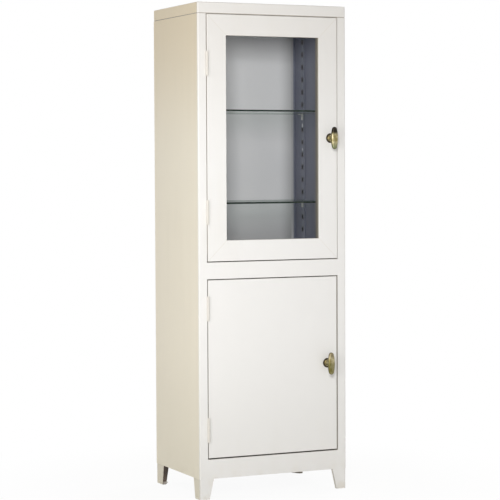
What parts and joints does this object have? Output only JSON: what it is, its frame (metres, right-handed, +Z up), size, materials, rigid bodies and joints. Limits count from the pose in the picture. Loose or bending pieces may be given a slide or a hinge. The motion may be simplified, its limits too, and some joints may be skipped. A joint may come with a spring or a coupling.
{
  "type": "medicine cabinet",
  "caption": "Tall free-standing sheet-steel medicine cabinet with a glazed upper door over glass shelves, a plain lower door, oval turn handles and tapered legs.",
  "frame": {"origin": "on the floor, under the middle of the outline, handles included", "axes": "+Z up, +X to the viewer's right, +Y from the doors to the back"},
  "size_m": [0.556, 0.434, 1.68],
  "materials": {
    "white_enamel": "gloss enamel",
    "inner_enamel": "satin enamel",
    "clear_glass": "clear",
    "aged_brass": "aged",
    "bare_steel": "bright zinc"
  },
  "bodies": {
    "carcass": {"back_panel": "inner_enamel", "cupboard_shelf": "inner_enamel", "floor_pan": "inner_enamel", "front_apron": "white_enamel", "front_left_leg": "white_enamel", "front_left_shelf_standard": "inner_enamel", "front_right_leg": "white_enamel", "front_right_shelf_standard": "inner_enamel", "head_stop": "inner_enamel", "left_cupboard_cleat": "inner_enamel", "left_side_shell": "white_enamel", "lower_door_bottom_hinge_jamb_leaf": "white_enamel", "lower_door_bottom_hinge_pin": "white_enamel", "lower_door_top_hinge_jamb_leaf": "white_enamel", "lower_door_top_hinge_pin": "white_enamel", "lower_glass_shelf": "clear_glass", "lower_strike": "bare_steel", "mid_deck": "inner_enamel", "mid_rail": "white_enamel", "rear_left_leg": "white_enamel", "rear_left_shelf_standard": "inner_enamel", "rear_right_leg": "white_enamel", "rear_right_shelf_standard": "inner_enamel", "right_cupboard_cleat": "inner_enamel", "right_side_shell": "white_enamel", "shelf_clips": "bare_steel", "top_cap": "white_enamel", "top_panel": "white_enamel", "upper_door_bottom_hinge_jamb_leaf": "white_enamel", "upper_door_bottom_hinge_pin": "white_enamel", "upper_door_top_hinge_jamb_leaf": "white_enamel", "upper_door_top_hinge_pin": "white_enamel", "upper_glass_shelf": "clear_glass", "upper_strike": "bare_steel"},
    "upper_door": {"door_glass": "clear_glass", "glazing_bead_bottom": "white_enamel", "glazing_bead_left": "white_enamel", "glazing_bead_right": "white_enamel", "glazing_bead_top": "white_enamel", "glazing_screws": "bare_steel", "upper_door_bottom_rail": "white_enamel", "upper_door_left_stile": "white_enamel", "upper_door_right_stile": "white_enamel", "upper_door_top_rail": "white_enamel", "upper_rosette": "aged_brass", "upper_rosette_nut": "bare_steel", "upper_door_top_hinge_door_leaf": "white_enamel", "upper_door_bottom_hinge_door_leaf": "white_enamel"},
    "lower_door": {"lower_door_pan": "white_enamel", "lower_door_lining": "inner_enamel", "lower_rosette": "aged_brass", "lower_rosette_nut": "bare_steel", "lower_door_top_hinge_door_leaf": "white_enamel", "lower_door_bottom_hinge_door_leaf": "white_enamel"},
    "upper_latch": {"upper_handle": "aged_brass", "upper_latch_tongue": "bare_steel", "upper_latch_nut": "bare_steel"},
    "lower_latch": {"lower_handle": "aged_brass", "lower_latch_tongue": "bare_steel", "lower_latch_nut": "bare_steel"}
  },
  "joints": [
    {"name": "upper_door_hinge", "type": "hinge", "parent": "carcass", "child": "upper_door", "pos_m": [-0.24575, -0.1838, 1.2238], "axis": [0, 0, -1], "range_deg": [0, 180]},
    {"name": "lower_door_hinge", "type": "hinge", "parent": "carcass", "child": "lower_door", "pos_m": [-0.24575, -0.1838, 0.442], "axis": [0, 0, -1], "range_deg": [0, 180]},
    {"name": "upper_handle_turn", "type": "hinge", "parent": "upper_door", "child": "upper_latch", "pos_m": [0.2195, -0.179, 1.2248], "axis": [0, -1, 0], "range_deg": [0, 90]},
    {"name": "lower_handle_turn", "type": "hinge", "parent": "lower_door", "child": "lower_latch", "pos_m": [0.2055, -0.179, 0.4443], "axis": [0, -1, 0], "range_deg": [0, 90]}
  ]
}
